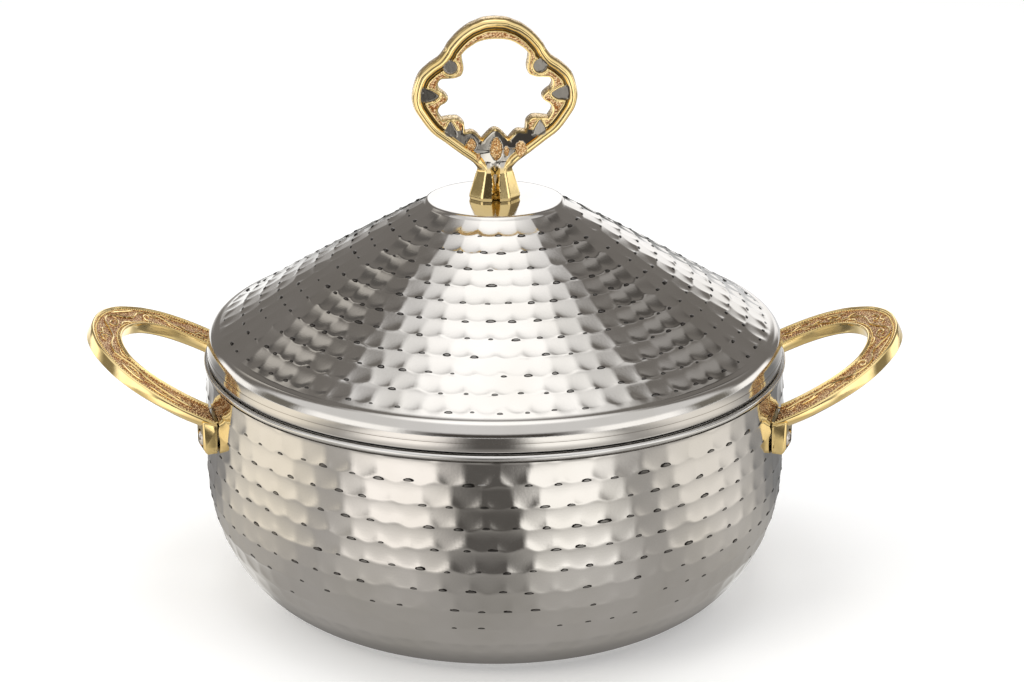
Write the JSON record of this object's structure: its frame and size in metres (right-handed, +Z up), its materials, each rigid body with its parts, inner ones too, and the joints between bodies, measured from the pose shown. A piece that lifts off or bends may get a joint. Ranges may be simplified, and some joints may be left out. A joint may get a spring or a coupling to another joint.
{
  "type": "insulated chapati casserole",
  "caption": "Round hammered double-wall steel casserole that keeps flatbreads warm, with a lift-off insulated lid, an openwork cast ring knob and two cast loop handles.",
  "frame": {"origin": "on the bowl's vertical axis, in the plane the base stands on", "axes": "+Z up along the bowl's axis and the lid's lift, +X through the right-hand handle, -Y towards the viewer of the picture"},
  "size_m": [0.3404, 0.2438, 0.2423],
  "materials": {
    "hammered_steel": "polished stainless steel with a hand-hammered surface",
    "satin_steel": "satin stainless steel, spun marks round the axis",
    "gold_casting": "gold-plated casting, polished edges and a stippled darker ground",
    "zinc_fixing": "bright zinc-plated steel fixing",
    "foam": "rigid polyurethane foam, cream",
    "plug_rubber": "matt black rubber"
  },
  "bodies": {
    "pot": {"outer_shell": "hammered_steel", "inner_bowl": "satin_steel", "bowl_insulation": "foam", "base_fill_plug": "plug_rubber", "handle_right": "gold_casting", "handle_left": "gold_casting", "handle_screw_left_front": "zinc_fixing", "handle_washer_left_front": "zinc_fixing", "handle_nut_left_front": "zinc_fixing", "handle_screw_left_back": "zinc_fixing", "handle_washer_left_back": "zinc_fixing", "handle_nut_left_back": "zinc_fixing", "handle_screw_right_front": "zinc_fixing", "handle_washer_right_front": "zinc_fixing", "handle_nut_right_front": "zinc_fixing", "handle_screw_right_back": "zinc_fixing", "handle_washer_right_back": "zinc_fixing", "handle_nut_right_back": "zinc_fixing"},
    "lid": {"lid_shell": "hammered_steel", "lid_liner": "satin_steel", "lid_insulation": "foam", "lid_fill_plug": "plug_rubber", "knob": "gold_casting", "knob_washer": "zinc_fixing", "knob_screw": "zinc_fixing"}
  },
  "joints": [
    {"name": "lid_lift", "type": "slide", "parent": "pot", "child": "lid", "axis": [0, 0, 1], "range_m": [0, 0.12]}
  ]
}
